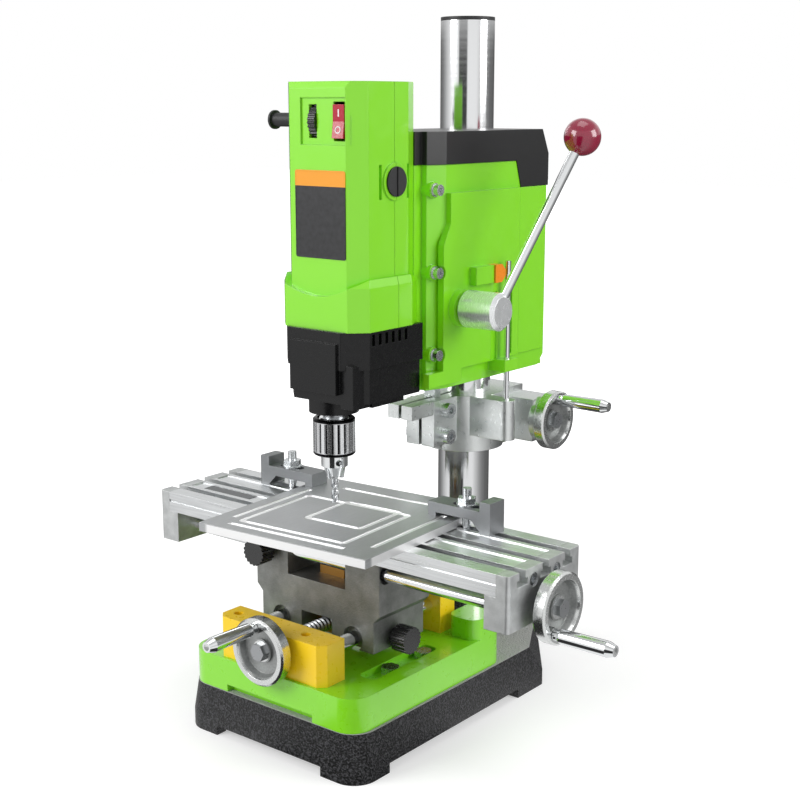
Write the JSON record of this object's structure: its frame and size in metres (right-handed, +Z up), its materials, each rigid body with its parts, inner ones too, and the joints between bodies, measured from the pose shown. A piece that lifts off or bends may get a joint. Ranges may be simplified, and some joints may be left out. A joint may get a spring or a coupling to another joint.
{
  "type": "benchtop drill press",
  "caption": "Benchtop drill press: geared head with a rack feed lever on a round column, cranked lift bracket, two-way T-slot cross table and a clamped workpiece.",
  "frame": {"origin": "on the column's axis, at the height of the bench under the feet", "axes": "+X to the operator's right, along the table; +Y to the back; +Z up the column"},
  "size_m": [0.4294, 0.3834, 0.576],
  "materials": {
    "green_paint": "gloss",
    "yellow_paint": "satin",
    "black_casting": "rough textured",
    "black_plastic": "satin",
    "steel": "satin",
    "cast_metal": "machined",
    "alloy": "satin",
    "chrome": "polished",
    "bronze": "satin",
    "orange_plastic": "gloss",
    "crimson_plastic": "gloss",
    "red_plastic": "gloss",
    "winding": "satin",
    "workpiece": "satin",
    "green_plastic": "gloss"
  },
  "bodies": {
    "stand": {"base_casting": "black_casting", "column": "chrome", "column_cap": "black_plastic", "lift_rack": "steel", "bed_casting": "green_paint", "stand_screws": "steel", "front_block": "yellow_paint", "rear_block": "yellow_paint", "cross_guide_rods": "chrome"},
    "cross_crank": {"cross_screw": "steel", "cross_handwheel": "alloy"},
    "cross_grip": {"cross_grip": "chrome"},
    "saddle": {"saddle_casting": "cast_metal", "lead_nuts": "bronze"},
    "saddle_knob": {"saddle_lock_knob": "black_plastic"},
    "table_knob": {"table_lock_knob": "black_plastic"},
    "table": {"table_top": "alloy", "left_end_bracket": "cast_metal", "right_end_bracket": "cast_metal", "table_guide_rods": "chrome", "bracket_screws": "steel", "workpiece_plate": "workpiece", "clamp_straps": "cast_metal", "clamp_studs": "steel"},
    "table_crank": {"table_screw": "steel", "table_handwheel": "alloy"},
    "table_grip": {"table_grip": "chrome"},
    "bracket": {"column_bracket": "cast_metal", "bracket_bolts": "steel", "depth_rod": "chrome", "feed_rack": "steel"},
    "lift_crank": {"lift_shaft": "steel", "lift_handwheel": "alloy"},
    "lift_grip": {"lift_grip": "chrome"},
    "head": {"head_shell_right": "green_paint", "head_shell_left": "green_paint", "head_cover": "black_plastic", "housing_screws": "steel", "motor_shell_front": "green_plastic", "motor_shell_rear": "green_plastic", "gearbox_housing": "black_casting", "motor_stator": "winding", "brush_caps": "black_plastic", "cord_guard": "black_plastic", "depth_pointer": "orange_plastic", "spindle_bearings": "steel"},
    "feed": {"feed_pinion": "steel", "feed_hub": "chrome", "feed_lever": "chrome", "lever_ball": "crimson_plastic"},
    "rocker": {"rocker_switch": "red_plastic"},
    "dial": {"speed_dial": "black_plastic"},
    "rotor": {"motor_rotor": "winding"},
    "spindle": {"spindle": "steel", "chuck_body": "chrome", "drill_bit": "steel"},
    "sleeve": {"chuck_sleeve": "chrome"},
    "jaw_1": {"chuck_jaw_1": "steel"},
    "jaw_2": {"chuck_jaw_2": "steel"},
    "jaw_3": {"chuck_jaw_3": "steel"}
  },
  "joints": [
    {"name": "cross_crank_turn", "type": "hinge", "parent": "stand", "child": "cross_crank", "pos_m": [0.002, -0.26, 0.09], "axis": [0, 1, 0], "range_deg": [-2701, 1441]},
    {"name": "cross_grip_spin", "type": "hinge", "parent": "cross_crank", "child": "cross_grip", "pos_m": [0.00023, -0.26, 0.11017], "axis": [0, -1, 0], "continuous": true},
    {"name": "saddle_slide", "type": "slide", "parent": "stand", "child": "saddle", "axis": [0, 1, 0], "range_m": [-0.016, 0.03]},
    {"name": "saddle_knob_turn", "type": "hinge", "parent": "saddle", "child": "saddle_knob", "pos_m": [0.07, -0.1765, 0.09], "axis": [1, 0, 0], "range_deg": [0, 360]},
    {"name": "table_knob_turn", "type": "hinge", "parent": "saddle", "child": "table_knob", "pos_m": [-0.05, -0.206, 0.147], "axis": [0, -1, 0], "range_deg": [0, 360]},
    {"name": "table_slide", "type": "slide", "parent": "saddle", "child": "table", "axis": [1, 0, 0], "range_m": [-0.105, 0.077]},
    {"name": "table_crank_turn", "type": "hinge", "parent": "table", "child": "table_crank", "pos_m": [0.205, -0.1705, 0.147], "axis": [1, 0, 0], "range_deg": [-9451, 6931]},
    {"name": "table_grip_spin", "type": "hinge", "parent": "table_crank", "child": "table_grip", "pos_m": [0.205, -0.18352, 0.13149], "axis": [1, 0, 0], "continuous": true},
    {"name": "bracket_slide", "type": "slide", "parent": "stand", "child": "bracket", "axis": [0, 0, 1], "range_m": [0, 0.08]},
    {"name": "lift_crank_turn", "type": "hinge", "parent": "bracket", "child": "lift_crank", "pos_m": [0.0664, 0.036, 0.23], "axis": [1, 0, 0], "range_deg": [0, 573]},
    {"name": "lift_grip_spin", "type": "hinge", "parent": "lift_crank", "child": "lift_grip", "pos_m": [0.0664, 0.036, 0.249], "axis": [1, 0, 0], "continuous": true},
    {"name": "head_slide", "type": "slide", "parent": "bracket", "child": "head", "axis": [0, 0, 1], "range_m": [0, 0.06]},
    {"name": "feed_lever_turn", "type": "hinge", "parent": "head", "child": "feed", "pos_m": [0.087, -0.076, 0.341], "axis": [-1, 0, 0], "range_deg": [0, 152.9]},
    {"name": "rocker_tilt", "type": "hinge", "parent": "head", "child": "rocker", "pos_m": [0.0215, -0.185, 0.4915], "axis": [1, 0, 0], "range_deg": [0, 12]},
    {"name": "speed_dial_turn", "type": "hinge", "parent": "head", "child": "dial", "pos_m": [-0.0055, -0.1795, 0.4915], "axis": [1, 0, 0], "range_deg": [0, 270]},
    {"name": "spindle_spin", "type": "hinge", "parent": "head", "child": "spindle", "pos_m": [0, -0.176, 0.29], "axis": [0, 0, -1], "continuous": true},
    {"name": "rotor_spin", "type": "hinge", "parent": "head", "child": "rotor", "pos_m": [0, -0.149, 0.4], "axis": [0, 0, -1], "continuous": true},
    {"name": "sleeve_turn", "type": "hinge", "parent": "spindle", "child": "sleeve", "pos_m": [0, -0.176, 0.245], "axis": [0, 0, 1], "range_deg": [0, 2161]},
    {"name": "jaw_1_slide", "type": "slide", "parent": "spindle", "child": "jaw_1", "axis": [0.1355, 0.0782, 0.9877], "range_m": [0, 0.012]},
    {"name": "jaw_2_slide", "type": "slide", "parent": "spindle", "child": "jaw_2", "axis": [-0.1355, 0.0782, 0.9877], "range_m": [0, 0.012]},
    {"name": "jaw_3_slide", "type": "slide", "parent": "spindle", "child": "jaw_3", "axis": [0, -0.1564, 0.9877], "range_m": [0, 0.012]}
  ],
  "couplings": [
    {"joint": "cross_crank_turn", "follows": "saddle_slide", "rad_per_m": -1570.8},
    {"joint": "table_crank_turn", "follows": "table_slide", "rad_per_m": 1570.8},
    {"joint": "lift_crank_turn", "follows": "bracket_slide", "rad_per_m": 125},
    {"joint": "feed_lever_turn", "follows": "head_slide", "rad_per_m": 44.444},
    {"joint": "rotor_spin", "follows": "spindle_spin", "ratio": -3},
    {"joint": "sleeve_turn", "follows": "jaw_1_slide", "rad_per_m": 3141.6},
    {"joint": "jaw_2_slide", "follows": "jaw_1_slide", "ratio": 1},
    {"joint": "jaw_3_slide", "follows": "jaw_1_slide", "ratio": 1}
  ]
}
